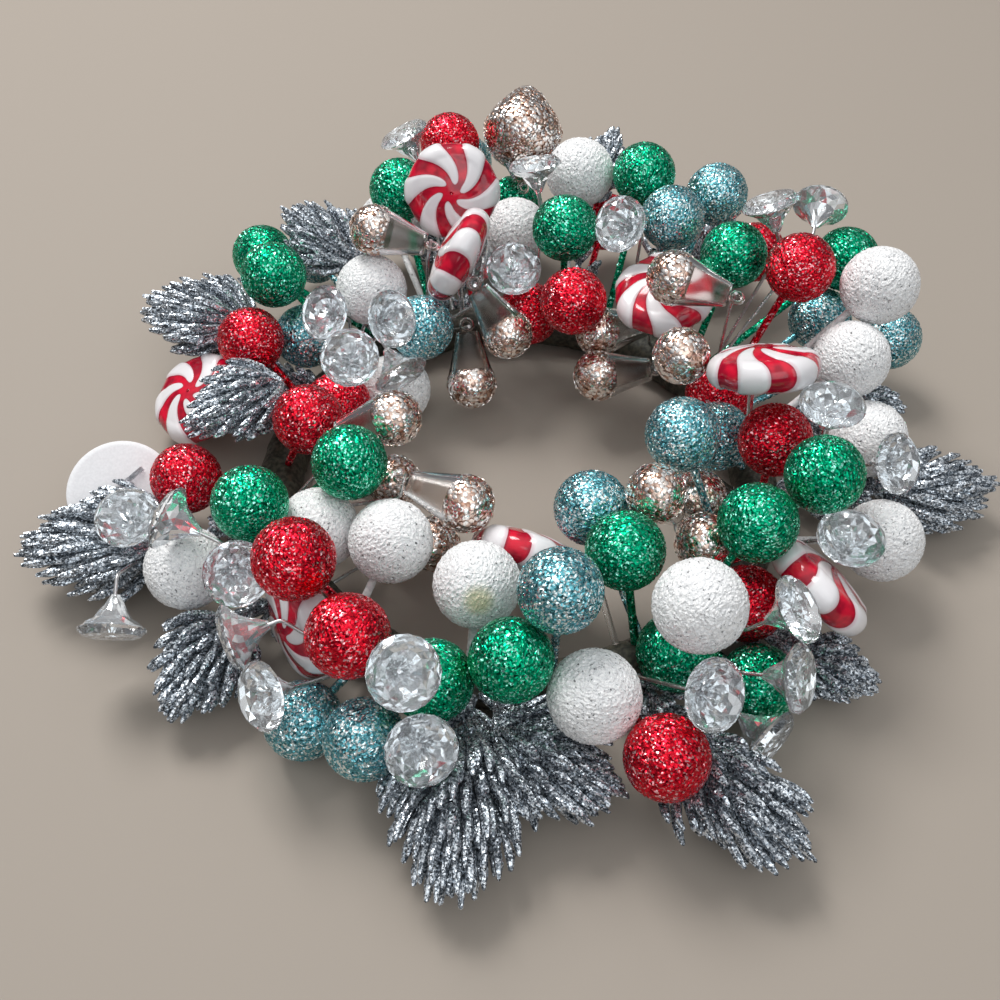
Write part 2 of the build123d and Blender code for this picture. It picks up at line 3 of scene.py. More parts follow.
import bpy
import numpy as np
from mathutils import Matrix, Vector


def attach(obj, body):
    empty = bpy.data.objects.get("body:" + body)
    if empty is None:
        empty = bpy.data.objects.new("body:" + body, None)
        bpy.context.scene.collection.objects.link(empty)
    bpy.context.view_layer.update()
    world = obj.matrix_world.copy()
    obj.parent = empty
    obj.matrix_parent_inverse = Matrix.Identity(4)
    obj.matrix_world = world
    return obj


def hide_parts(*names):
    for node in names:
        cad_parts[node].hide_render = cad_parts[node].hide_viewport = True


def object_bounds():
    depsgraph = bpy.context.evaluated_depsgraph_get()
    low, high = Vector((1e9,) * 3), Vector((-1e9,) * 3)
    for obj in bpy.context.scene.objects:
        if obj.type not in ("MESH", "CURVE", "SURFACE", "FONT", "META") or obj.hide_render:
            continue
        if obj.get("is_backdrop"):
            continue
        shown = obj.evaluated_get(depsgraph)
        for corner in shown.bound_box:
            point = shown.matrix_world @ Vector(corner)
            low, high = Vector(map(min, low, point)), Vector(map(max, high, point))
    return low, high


# A candle ring: glitter balls, peppermints, jewels, sequin drops and glittered pine sprigs on
# stems that are bound to a taped hoop. Lengths are typed in millimetres and built in metres.

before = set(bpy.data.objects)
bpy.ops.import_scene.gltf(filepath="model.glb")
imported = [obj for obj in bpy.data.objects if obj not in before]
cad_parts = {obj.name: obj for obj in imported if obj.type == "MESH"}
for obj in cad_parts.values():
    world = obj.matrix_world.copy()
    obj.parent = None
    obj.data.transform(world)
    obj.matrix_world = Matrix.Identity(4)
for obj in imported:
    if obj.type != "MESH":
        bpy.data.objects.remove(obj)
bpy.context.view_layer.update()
draw = np.random.default_rng(24)
MM = 0.001
UP = np.array([0.0, 0.0, 1.0])

# The hoop and its tape, as in the solids; the turns of the tape, the step where it laps and how far
# its lowest lap lies inside the solid
HOOP_RADIUS = 64.0
TAPE_RADIUS = 6.0
HOOP_RISE = 5.5
TAPE_TURNS = 46
TAPE_STEP = 0.35
TAPE_SINK = 0.25
TAPE_CREASE = 0.10
TAPE_GRID = (960, 40)

# Glitter on the balls: faces along a quarter turn for each millimetre of radius, how far the flakes
# and the sugar grains stand up, and how far they stray along the ball, in cells
FLAKES_PER_MM = 3.3
FLAKE_LIFT = 0.13
GRAINS_PER_MM = 3.0
GRAIN_LIFT = 0.17
FLAKE_STRAY = 0.36

# The round bumps of the sugar: how many to a metre, how high and how strong
GRAIN_SCALE = 1900.0
GRAIN_BUMP = 0.13
GRAIN_STRENGTH = 0.75

# Peppermints: the petals, how far they wind and how that eases off, the rim's share of half the
# thickness, the hub and its soft edge as shares of the radius, and how far the petals stand up
MINT_PETALS = 6
MINT_TWIST = 1.15
MINT_EASE = 1.25
MINT_RIM = 0.72
MINT_HUB = 0.13
MINT_HUB_EDGE = 0.14
MINT_PUFF = 0.35

# Jewels: the fit inside the solid, the room that needles leave them, and for each ring of the
# pavilion its share of the radius and of the depth
JEWEL_FIT = 0.985
JEWEL_ROOM = 0.9
JEWEL_CROWN = 1.5
JEWEL_SIDES = 18
JEWEL_TABLE_SHARE = 0.84
JEWEL_GIRDLE = 0.35
JEWEL_RINGS = [(0.90, 0.10), (0.74, 0.21), (0.57, 0.32), (0.41, 0.52), (0.27, 0.72), (0.13, 0.92)]
JEWEL_SHAKE = 0.07

# Sequins: size and spacing, how they lean, stray and stand off, and how far up the bulb they go
SEQUIN_RADIUS = 0.68
SEQUIN_PITCH = 1.16
SEQUIN_THICK = 0.12
SEQUIN_FLAT = 0.55
SEQUIN_LEAN = 0.11
SEQUIN_STRAY = 0.24
SEQUIN_STAND = 0.06
SEQUIN_SEAT = 1.015
SEQUIN_COVER = 0.55
SEQUIN_COVER_LARGE = 0.95

# Sequin drops: the bulb under the sequins, the crown of the large one, the clear tail and its eyelet
BULB_FIT = 0.985
BULB_OVER = 0.1
BULB_TINT = 0.2
CROWN_TURN, CROWN_TILT = 80, 42
CROWN_PULL = 0.36
CROWN_EASE = 1.2
CROWN_POINT = 0.9
TAIL_BRIM = 0.5
TAIL_BRIM_LARGE = 0.85
TAIL_SEAT = 1.04
TAIL_EASE = 1.1
TAIL_NECK = 3.2
TAIL_WALL = 0.3
TAIL_SHORT = 3.6
TIP_LENGTH = 4.0
EYELET_RING = 1.6
EYELET_WIRE = 0.6
EYELET_GRID = (24, 10)

# Pine sprigs: angle, reach and rise of the base, turn and tilt of the spine, overall length
SPRIGS = [
    (149, 89, 21, 165, 1, 31), (126, 78, 29, 144, 18, 26), (164, 66, 25, 216, -2, 26),
    (196, 91, 13, 188, 1, 34), (216, 84, 12, 244, -3, 26), (261, 80, 13, 266, -3, 35),
    (266, 80, 15, 326, -5, 29), (294, 90, 13, 308, -4, 31), (319, 88, 9, 331, 0, 17),
    (355, 97, 10, 4, 2, 27), (13, 92, 16, 328, 14, 16), (76, 101, 31, 66, 38, 18),
    (103, 90, 12, 100, 6, 32), (58, 94, 12, 55, 5, 32),
]

# The core and the stalk of a sprig, and the needles on both: how many, how thick and long, how they
# spread, bend and vary, and the cuts, rolls and bows that are tried until one is clear
CORE_SHARE = 0.4
CORE_RADIUS = 2.0
STALK_RADIUS = 1.1
NEEDLES_PER_MM = 3.1
NEEDLE_RADIUS = 1.1
NEEDLE_SHARE = 0.68
NEEDLE_SPREAD = 69.0
NEEDLE_TIP_SPREAD = 6.0
NEEDLE_FLATTEN = 0.6
NEEDLE_STEPS = 9
NEEDLE_BEND = 0.25
NEEDLE_OUT = 0.85
NEEDLE_EASE = 1.6
NEEDLE_VARY = (0.86, 1.1)
NEEDLE_ROUGH = (0.76, 1.24)
NEEDLE_CUTS = (1.0, 0.8, 0.6)
NEEDLE_ROLLS = np.array([0, 0.5, -0.5, 1.0, -1.0])
STALK_BOWS = [0, 5, -5, 9, -9, 14, -14]
STALK_NEEDLES_PER_MM = 1.3
STALK_NEEDLE = 8.0
STALK_NEEDLE_GIRTH = 0.85
STALK_NEEDLE_SPREAD = 58.0
STALK_NEEDLE_VARY = (0.8, 1.2)
STALK_NEEDLE_STRAY = (0.9, 1.0)
STALK_NEEDLE_ROLLS = np.array([0, 0.7, -0.7])

# The turn from one needle or sequin to the next
GOLDEN_ANGLE = math.pi * (3 - math.sqrt(5))


def unit(v):
    """Vectors at their own direction with a length of one."""
    return v / np.linalg.norm(v, axis=-1, keepdims=True)


def polar(angle, reach, rise):
    """The point at an angle round the ring, a reach from its axis and a rise above the floor."""
    a = math.radians(angle)
    return np.array([reach * math.cos(a), reach * math.sin(a), rise]) * MM


def facing(turn, tilt):
    """The unit vector along a turn round Z and a tilt above the horizon."""
    t, e = math.radians(turn), math.radians(tilt)
    return np.array([math.cos(e) * math.cos(t), math.cos(e) * math.sin(t), math.sin(e)])


def frame_along(axis):
    """Three unit rows: two across an axis, then the axis itself."""
    helper = UP if abs(axis[2]) < 0.9 else np.array([1.0, 0.0, 0.0])
    side = unit(np.cross(helper, axis))
    return np.array([side, np.cross(axis, side), axis])


def any_turn():
    """A turn drawn evenly from all the turns of a ball, as a matrix."""
    q, r = np.linalg.qr(draw.normal(size=(3, 3)))
    q = q * np.sign(np.diag(r))
    return q * np.linalg.det(q)


# Reading the solids


def solids(node):
    """Each separate solid of a node as triangles (n, 3, 3). Corners at one point are one corner,
    and every corner takes the lowest number of its neighbours until each solid has a single one."""
    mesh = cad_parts[node].data
    mesh.calc_loop_triangles()
    co = np.empty(len(mesh.vertices) * 3, np.float32)
    mesh.vertices.foreach_get("co", co)
    tri = np.empty(len(mesh.loop_triangles) * 3, np.int32)
    mesh.loop_triangles.foreach_get("vertices", tri)
    keys = np.round(co.reshape(-1, 3) * 1e6).astype(np.int64)
    points, where = np.unique(keys, axis=0, return_inverse=True)
    tri = where.reshape(-1)[tri].reshape(-1, 3)
    label = np.arange(len(points))
    settled = False
    while not settled:
        least = label.copy()
        np.minimum.at(least, tri.ravel(), np.repeat(label[tri].min(axis=1), 3))
        least = least[least]
        settled = bool((least == label).all())
        label = least
    owner = label[tri[:, 0]]
    return [points[tri[owner == k]] * 1e-6 for k in np.unique(owner)]


def ball_of(tris):
    """Centre and radius of a ball, from its box."""
    low, high = tris.min(axis=(0, 1)), tris.max(axis=(0, 1))
    return (low + high) / 2, float((high - low).max() / 2)


def lie_of(tris):
    """The axis of a turned solid, as the odd one of the three main directions of its surface,
    with the middle of the surface and how far the solid runs each way along the axis from there."""
    middle = tris.mean(axis=1)
    area = np.linalg.norm(np.cross(tris[:, 1] - tris[:, 0], tris[:, 2] - tris[:, 0]), axis=1)
    centre = (middle * area[:, None]).sum(axis=0) / area.sum()
    away = middle - centre
    spread, ways = np.linalg.eigh((away * area[:, None]).T @ away)
    odd = 0 if spread[1] - spread[0] > spread[2] - spread[1] else 2
    axis = ways[:, odd]
    along = (tris.reshape(-1, 3) - centre) @ axis
    if along.max() < -along.min():
        axis, along = -axis, -along
    return centre, axis, float(along.min()), float(along.max())


# Building meshes


def grid_faces(rows, cols, wrap_rows=False, wrap_cols=False):
    """Four-cornered faces over a grid of points, closed round in either direction if asked."""
    i = np.arange(rows if wrap_rows else rows - 1)[:, None]
    j = np.arange(cols if wrap_cols else cols - 1)[None, :]
    i2, j2 = (i + 1) % rows, (j + 1) % cols
    quad = [i * cols + j, i2 * cols + j, i2 * cols + j2, i * cols + j2]
    return np.stack([q + np.zeros_like(i * j) for q in quad], -1).reshape(-1, 4)


def fan_faces(hub, ring, outward):
    """Triangles between a hub point and a ring of points, wound one way or the other."""
    after = np.roll(ring, -1)
    pair = [ring, after] if outward else [after, ring]
    return np.stack([np.full_like(ring, hub), *pair], -1)


class Heap:
    """Points, faces and their numbers gathered from many like shapes into one mesh."""

    def __init__(self):
        self.points, self.faces, self.values, self.count = [], [], [], 0

    def add(self, points, face_sets, values=None):
        for faces in face_sets:
            self.faces.append(faces + self.count)
        self.points.append(points)
        if values is not None:
            self.values.append(values)
        self.count += len(points)


def piece(name, heap, material, nodes=(), smooth=False, tag=None, domain="FACE"):
    """One object from a heap. Its place is in its mesh, and it rides on the ring's only body."""
    mesh = bpy.data.meshes.new(name)
    points = np.concatenate(heap.points)
    sizes = np.concatenate([np.full(len(f), f.shape[1]) for f in heap.faces])
    corners = np.concatenate([f.ravel() for f in heap.faces])
    mesh.vertices.add(len(points))
    mesh.vertices.foreach_set("co", points.astype(np.float32).ravel())
    mesh.loops.add(len(corners))
    mesh.loops.foreach_set("vertex_index", corners.astype(np.int32))
    mesh.polygons.add(len(sizes))
    mesh.polygons.foreach_set("loop_start", (np.cumsum(sizes) - sizes).astype(np.int32))
    mesh.update(calc_edges=True)
    if tag:
        numbers = mesh.attributes.new(tag, "FLOAT", domain)
        numbers.data.foreach_set("value", np.concatenate(heap.values).astype(np.float32))
    if smooth:
        mesh.shade_smooth()
    else:
        mesh.shade_flat()
    mesh.materials.append(material)
    thing = bpy.data.objects.new(name, mesh)
    bpy.context.scene.collection.objects.link(thing)
    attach(thing, "root")
    if nodes:
        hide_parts(*nodes)
    return thing


def ball_grid(count):
    """A unit ball of six square grids: the point (u, v) of a side lies along (tan u, tan v, 1)."""
    u = np.tan(np.linspace(-math.pi / 4, math.pi / 4, count + 1))
    a, b = np.meshgrid(u, u, indexing="ij")
    side = np.stack([a, b, np.ones_like(a)], -1).reshape(-1, 3)
    x, y, z = np.eye(3)
    turns = [(x, y, z), (x, -y, -z), (x, z, -y), (x, -z, y), (z, y, -x), (-z, y, x)]
    points = unit(np.concatenate([side @ np.array(t) for t in turns]))
    faces = np.concatenate([grid_faces(count + 1, count + 1) + k * len(side) for k in range(6)])
    keys, where = np.unique(np.round(points * 1e5).astype(np.int64), axis=0, return_inverse=True)
    return unit(keys * 1.0), where.reshape(-1)[faces]


def glitter_ball(heap, centre, radius, per_mm, lift):
    """A ball whose grid points are shaken along the surface and in and out, so each small face
    tilts its own way as a glued flake does."""
    count = round(radius / MM * per_mm)
    points, faces = ball_grid(count)
    cell = math.pi / 2 / count
    shaken = unit(points @ any_turn() + draw.uniform(-FLAKE_STRAY, FLAKE_STRAY, points.shape) * cell)
    reach = radius + lift * MM * draw.uniform(-1.0, 1.0, len(points))
    heap.add(centre + shaken * reach[:, None], [faces], draw.random(len(faces)))


def turned(profile, steps):
    """A surface turned about Z from a profile of (reach, height) whose two ends are on the axis:
    a ring of points for each inner profile point, and one point at each end."""
    angle = np.linspace(0, 2 * math.pi, steps, endpoint=False)
    inner = profile[1:-1]
    ring = np.stack([np.cos(angle), np.sin(angle)], -1)
    height = np.broadcast_to(inner[:, None, 1:], (len(inner), steps, 1))
    body = np.concatenate([inner[:, None, :1] * ring[None], height], -1).reshape(-1, 3)
    ends = np.array([[0, 0, profile[0, 1]], [0, 0, profile[-1, 1]]])
    points = np.concatenate([body, ends])
    first, last = np.arange(steps), np.arange(steps) + (len(inner) - 1) * steps
    faces = [
        grid_faces(len(inner), steps, wrap_cols=True),
        fan_faces(len(body), first, False),
        fan_faces(len(body) + 1, last, True),
    ]
    return points, faces


def mint_shape(radius, half):
    """A peppermint facing Z: two domes on a full round rim. The stripe number is the cosine of
    the petals' angle, wound on toward the hub, and the petals puff out where it is positive."""
    rim = half * MINT_RIM
    flat = radius - rim
    s = np.linspace(0, 1, 26)[1:]
    dome = np.stack([flat * s, half - (half - rim) * s**2], -1)
    bend = np.linspace(math.pi / 2, -math.pi / 2, 22)[1:-1]
    edge = np.stack([flat + rim * np.cos(bend), rim * np.sin(bend)], -1)
    under = dome[::-1] * [1, -1]
    profile = np.concatenate([[[0, half]], dome, edge, under, [[0, -half]]])[::-1]
    points, faces = turned(profile, 144)
    reach = np.hypot(points[:, 0], points[:, 1]) / radius
    wound = MINT_TWIST * (1 - reach) ** MINT_EASE
    stripe = np.cos(MINT_PETALS * (np.arctan2(points[:, 1], points[:, 0]) + wound))
    hub = np.clip((reach - MINT_HUB) / MINT_HUB_EDGE, 0, 1)
    stripe = stripe * hub - (1 - hub) * 0.9
    puff = MINT_PUFF * MM * np.clip(reach * 1.6 - 0.35, 0, 1) * np.tanh(3 * stripe)
    points = points + unit(points * [1, 1, 2.2] + 1e-9) * puff[:, None]
    return points, faces, stripe


def jewel_shape(radius, crown, depth):
    """A cut stone facing Z with its girdle at z = 0: a many-sided table, a crown and a belt, and
    the rings of a pavilion, each half a side round from the last and a little uneven, that close
    on a point. Triangles zigzag from ring to ring."""
    n = JEWEL_SIDES
    turn = np.arange(n) * 2 * math.pi / n
    half = math.pi / n

    def ring(shift, reach, height, shake=0.0):
        uneven = 1 + shake * draw.uniform(-1, 1, (2, n))
        x = reach * uneven[0] * np.cos(turn + shift)
        y = reach * uneven[0] * np.sin(turn + shift)
        return np.stack([x, y, height * uneven[1]], -1)

    girdle = JEWEL_GIRDLE * MM
    table = ring(half, radius * JEWEL_TABLE_SHARE, crown)
    rings = [table, ring(0, radius, girdle), ring(0, radius, -girdle)]
    shift = half
    for share, drop in JEWEL_RINGS:
        rings.append(ring(shift, radius * share, -depth * drop, JEWEL_SHAKE))
        shift = half - shift
    points = np.concatenate(rings + [[[0, 0, -depth]]])
    k, nxt = np.arange(n), (np.arange(n) + 1) % n
    faces = [k[None, :]]
    for row in range(len(rings) - 1):
        above, below = row * n, row * n + n
        if row == 1:
            faces.append(np.stack([above + k, below + k, below + nxt, above + nxt], -1))
        elif row == 0 or row % 2 == 1:
            faces.append(np.stack([above + k, below + nxt, above + nxt], -1))
            faces.append(np.stack([above + k, below + k, below + nxt], -1))
        else:
            faces.append(np.stack([above + k, below + k, above + nxt], -1))
            faces.append(np.stack([below + k, below + nxt, above + nxt], -1))
    faces.append(fan_faces(len(points) - 1, (len(rings) - 1) * n + k, False))
    behind = np.concatenate([np.full(len(f), f.min() >= 2 * n) for f in faces])
    return points, faces, behind


def sequin_shape():
    """One sequin facing Z: a thin six-sided dish with a closed back."""
    steps = 6
    angle = np.arange(steps) * 2 * math.pi / steps
    ring = np.stack([np.cos(angle), np.sin(angle)], -1) * SEQUIN_RADIUS
    inner, thick = SEQUIN_FLAT * ring, SEQUIN_THICK
    rows = [
        np.c_[inner, np.full(steps, thick * 1.6)], np.c_[ring, np.full(steps, thick)],
        np.c_[ring, np.zeros(steps)],
    ]
    points = np.concatenate(rows + [[[0, 0, thick * 1.8], [0, 0, -thick]]]) * MM
    faces = [
        fan_faces(3 * steps, np.arange(steps), True),
        grid_faces(3, steps, wrap_cols=True),
        fan_faces(3 * steps + 1, np.arange(steps) + 2 * steps, False),
    ]
    return points, faces


def sequins_on(radius, cover):
    """Sequins laid over a ball from its foot at -Z up to a height, each a golden angle round from
    the last, then leaned, rolled and moved a little. Each sequin's faces share one number."""
    count = int(2 * (1 + cover) * math.pi * (radius / MM) ** 2 / SEQUIN_PITCH**2)
    k = np.arange(count)
    height = -1 + (k + 0.5) * (1 + cover) / count
    spin = k * GOLDEN_ANGLE
    flat_reach = np.sqrt(1 - height**2)
    normal = np.stack([flat_reach * np.cos(spin), flat_reach * np.sin(spin), height], -1)
    lean = unit(normal + draw.normal(0, SEQUIN_LEAN, normal.shape))
    east = unit(np.cross(lean, UP + 0.013))
    roll = draw.uniform(0, math.pi, (count, 1))
    side = np.cos(roll) * east + np.sin(roll) * np.cross(lean, east)
    other = np.cross(lean, side)
    stray = draw.normal(0, SEQUIN_STRAY * MM / radius, normal.shape)
    at = unit(normal + stray) * radius * SEQUIN_SEAT
    at = at + lean * draw.normal(0, SEQUIN_STAND, (count, 1)) * MM
    disc, disc_faces = sequin_shape()
    points = (
        at[:, None] + disc[None, :, :1] * side[:, None] + disc[None, :, 1:2] * other[:, None]
        + disc[None, :, 2:] * lean[:, None]
    )
    shift = k[:, None, None] * len(disc)
    faces = [(f[None] + shift).reshape(-1, f.shape[1]) for f in disc_faces]
    own = draw.random(count)
    numbers = np.concatenate([np.repeat(own, len(f)) for f in disc_faces])
    return points.reshape(-1, 3), faces, numbers


def bulb_shape(radius, top):
    """The ball under the sequins, from its foot at -Z to a flat end a little above a latitude."""
    turn = np.linspace(-math.pi / 2, top + BULB_OVER, 20)
    profile = np.stack([np.cos(turn), np.sin(turn)], -1) * radius * BULB_FIT
    profile = np.concatenate([profile, [[0, profile[-1, 1]]]])
    profile[0, 0] = 0
    return turned(profile, 28)


def egg(points, heart, radius):
    """A ball drawn in to a blunt point: the reach about its crown's axis shrinks as it rises, and
    the crown itself is drawn up by the fourth power of the height."""
    crown = facing(CROWN_TURN, CROWN_TILT)
    rise = (points - heart) @ crown
    spine = heart + np.outer(rise, crown)
    height = np.clip(rise / radius, 0, 1)
    pull = 1 - CROWN_PULL * height**CROWN_EASE
    return spine + (points - spine) * pull[:, None] + np.outer(CROWN_POINT * MM * height**4, crown)


def tail_shape(radius, brim, length):
    """A hollow tail along Z. It starts at a latitude of the ball, narrows to a neck and ends flat,
    short of the eyelet's end. The inside is the same profile, one wall further in."""
    s = np.linspace(0, 1, 14)
    start = math.sin(brim)
    wide = math.cos(brim) * radius * TAIL_SEAT
    neck, wall = TAIL_NECK * MM, TAIL_WALL * MM
    rise = start * radius + (length - TAIL_SHORT * MM - start * radius) * s
    reach = neck + (wide - neck) * (1 - s) ** TAIL_EASE
    outer = np.concatenate([np.stack([reach, rise], -1), [[0, rise[-1]]]])
    inner = np.stack([reach - wall, np.minimum(rise, rise[-1] - wall)], -1)
    inner = np.concatenate([[[0, rise[-1] - wall]], inner[::-1]])
    return turned(np.concatenate([inner, outer]), 24)


def eyelet_shape(eye, axis, hole):
    """A ring of round wire about an eye, with its hole along one direction."""
    a = np.linspace(0, 2 * math.pi, EYELET_GRID[0], endpoint=False)[:, None]
    b = np.linspace(0, 2 * math.pi, EYELET_GRID[1], endpoint=False)[None, :]
    ring = (EYELET_RING + EYELET_WIRE * np.cos(b)) * MM
    lay = np.cross(axis, hole)
    points = (
        eye + (ring * np.cos(a))[..., None] * axis + (ring * np.sin(a))[..., None] * lay
        + (EYELET_WIRE * MM * np.sin(b) + 0 * a)[..., None] * hole
    )
    return points.reshape(-1, 3), [grid_faces(*EYELET_GRID, True, True)]


def spokes_along(path, sides):
    """The way along a path at each of its points, and unit spokes round it there."""
    way = unit(np.gradient(path, axis=0))
    side = unit(np.cross(way, UP + 0.01))
    lift = np.cross(side, way)
    angle = np.arange(sides) * 2 * math.pi / sides
    across = np.cos(angle)[None, :, None] * side[:, None]
    return way, across + np.sin(angle)[None, :, None] * lift[:, None]


def tube_faces(count, sides):
    """The faces of a tube of rings, with a fan at each end on the two points that come last."""
    last = count * sides
    return [
        grid_faces(count, sides, wrap_cols=True),
        fan_faces(last, np.arange(sides), False),
        fan_faces(last + 1, np.arange(sides) + last - sides, True),
    ]


def needle_shape(path, radius, sides=6):
    """A rough tube along a path: its radius swells and then narrows to a blunt tip, and every point
    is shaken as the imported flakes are."""
    count = len(path)
    way, spokes = spokes_along(path, sides)
    s = np.linspace(0, 1, count)
    girth = radius * np.interp(s, [0, 0.3, 0.65, 0.9, 1], [0.6, 0.9, 1.0, 0.9, 0.42])
    reach = girth[:, None] * draw.uniform(*NEEDLE_ROUGH, (count, sides))
    body = path[:, None] + spokes * reach[:, :, None]
    ends = np.stack([path[0] - way[0] * radius * 0.3, path[-1] + way[-1] * radius * 0.3])
    return np.concatenate([body.reshape(-1, 3), ends]), tube_faces(count, sides)


def tube(path, radius, sides=10):
    """A smooth round tube along a path, with a ring of points at each of its points and a flat
    fan at each end."""
    _, spokes = spokes_along(path, sides)
    body = path[:, None] + spokes * radius
    return np.concatenate([body.reshape(-1, 3), path[[0, -1]]]), tube_faces(len(path), sides)


# Shader groups and finishes


def new_group(name, inputs, outputs):
    """An empty node group with named sockets: colours, or plain numbers."""
    tree = bpy.data.node_groups.new(name, "ShaderNodeTree")
    for direction, sockets in (("INPUT", inputs), ("OUTPUT", outputs)):
        for label, kind in sockets:
            tree.interface.new_socket(label, in_out=direction, socket_type=kind)
    return tree, tree.nodes.new("NodeGroupInput"), tree.nodes.new("NodeGroupOutput")


def feed(tree, socket, value):
    """Gives a socket its value: a link from another socket, or a plain value."""
    if isinstance(value, bpy.types.NodeSocket):
        tree.links.new(value, socket)
    else:
        socket.default_value = value


def mix_colours(tree, factor, a, b):
    """A mix of two colours by a factor."""
    node = tree.nodes.new("ShaderNodeMix")
    node.data_type = "RGBA"
    for socket, value in ((0, factor), (6, a), (7, b)):
        feed(tree, node.inputs[socket], value)
    return node.outputs[2]


def span(tree, value, low, high, to_low=0.0, to_high=1.0):
    """A number that goes from one value to another while its input crosses a span."""
    node = tree.nodes.new("ShaderNodeMapRange")
    node.interpolation_type = "SMOOTHSTEP"
    labels = ("Value", "From Min", "From Max", "To Min", "To Max")
    for label, number in zip(labels, (value, low, high, to_low, to_high)):
        feed(tree, node.inputs[label], number)
    return node.outputs["Result"]


def maths(tree, operation, a, b):
    """One sum of two numbers."""
    node = tree.nodes.new("ShaderNodeMath")
    node.operation = operation
    feed(tree, node.inputs[0], a)
    feed(tree, node.inputs[1], b)
    return node.outputs[0]


def vectors(tree, operation, a, b=None):
    """One sum of two vectors, or of one."""
    node = tree.nodes.new("ShaderNodeVectorMath")
    node.operation = operation
    feed(tree, node.inputs[0], a)
    if b is not None:
        feed(tree, node.inputs["Scale" if operation == "SCALE" else 1], b)
    return node.outputs["Value" if operation == "DISTANCE" else "Vector"]


def place_of(tree):
    """The place of a point in the object's own frame, which is the ring's."""
    return tree.nodes.new("ShaderNodeTexCoord").outputs["Object"]


def cloud(tree, scale, detail=2.0):
    """A soft noise over the object, by its scale."""
    node = tree.nodes.new("ShaderNodeTexNoise")
    node.inputs["Scale"].default_value = scale
    node.inputs["Detail"].default_value = detail
    tree.links.new(place_of(tree), node.inputs["Vector"])
    return node.outputs["Fac"]


def cells(tree, scale):
    """The object's space cut into cells, each with a random colour and a distance from its middle."""
    node = tree.nodes.new("ShaderNodeTexVoronoi")
    tree.links.new(place_of(tree), node.inputs["Vector"])
    feed(tree, node.inputs["Scale"], scale)
    return node.outputs


def parts_of(tree, colour):
    """The three numbers of a colour."""
    node = tree.nodes.new("ShaderNodeSeparateColor")
    tree.links.new(colour, node.inputs["Color"])
    return node.outputs


def bump_of(tree, height, strength, distance):
    """A bump node over a height, with its strength and its distance in millimetres."""
    node = tree.nodes.new("ShaderNodeBump")
    node.inputs["Strength"].default_value = strength
    node.inputs["Distance"].default_value = distance * MM
    tree.links.new(height, node.inputs["Height"])
    return node


# Flakes: how much of the tone is the face's and the cell's, the width of the step to bright, the
# least and most roughness, the share that lies flat, and how far those and the rest lean
FACE_SHARE, CELL_SHARE = 0.6, 0.4
BRIGHT_STEP = 0.14
FLAKE_ROUGHNESS = (0.14, 0.40)
FLAT_UNTIL = 0.8
LIE_AND_STAND = (0.4, 2.3)
COLOUR, NUMBER, VECTOR = "NodeSocketColor", "NodeSocketFloat", "NodeSocketVector"


def make_flake_group():
    """Flakes: a number of the face's or of a coarse cell, with finer cells between, picks from
    deep through body to bright, and every fine cell leans its own way with its own roughness."""
    tree, given, out = new_group(
        "glitter_flakes",
        [("Flake", NUMBER), ("Cell Scale", NUMBER), ("Lean", NUMBER), ("Dark Until", NUMBER),
         ("Bright From", NUMBER), ("Deep", COLOUR), ("Body", COLOUR), ("Bright", COLOUR)],
        [("Color", COLOUR), ("Roughness", NUMBER), ("Normal", VECTOR)],
    )
    asked = given.outputs
    shade = cells(tree, asked["Cell Scale"])["Color"]
    numbers = parts_of(tree, shade)
    of_cell = maths(tree, "MULTIPLY", numbers[0], CELL_SHARE)
    tone = maths(tree, "ADD", of_cell, maths(tree, "MULTIPLY", asked["Flake"], FACE_SHARE))
    dark = span(tree, tone, 0.0, asked["Dark Until"])
    dim = mix_colours(tree, dark, asked["Deep"], asked["Body"])
    bright_from = asked["Bright From"]
    light = span(tree, tone, bright_from, maths(tree, "ADD", bright_from, BRIGHT_STEP))
    tree.links.new(mix_colours(tree, light, dim, asked["Bright"]), out.inputs["Color"])
    tree.links.new(span(tree, numbers[1], 0.1, 0.9, *FLAKE_ROUGHNESS), out.inputs["Roughness"])

    # the lean of a cell: its colour, centred, added to the surface's own normal
    centred = vectors(tree, "SUBTRACT", shade, (0.5, 0.5, 0.5))
    stand = span(tree, numbers[2], FLAT_UNTIL, 1.0, *LIE_AND_STAND)
    leaning = vectors(tree, "SCALE", centred, maths(tree, "MULTIPLY", asked["Lean"], stand))
    normal = tree.nodes.new("ShaderNodeNewGeometry").outputs["Normal"]
    total = vectors(tree, "ADD", normal, leaning)
    tree.links.new(vectors(tree, "NORMALIZE", total), out.inputs["Normal"])
    return tree


def new_material(name):
    """A material with its tree and its shader."""
    material = bpy.data.materials.new(name)
    material.use_nodes = True
    tree = material.node_tree
    return material, tree, tree.nodes["Principled BSDF"]


def attribute(tree, name):
    """The number that a mesh carries under a name."""
    node = tree.nodes.new("ShaderNodeAttribute")
    node.attribute_name = name
    return node.outputs["Fac"]


FLAKES = make_flake_group()
COARSE_SHARE = 0.8


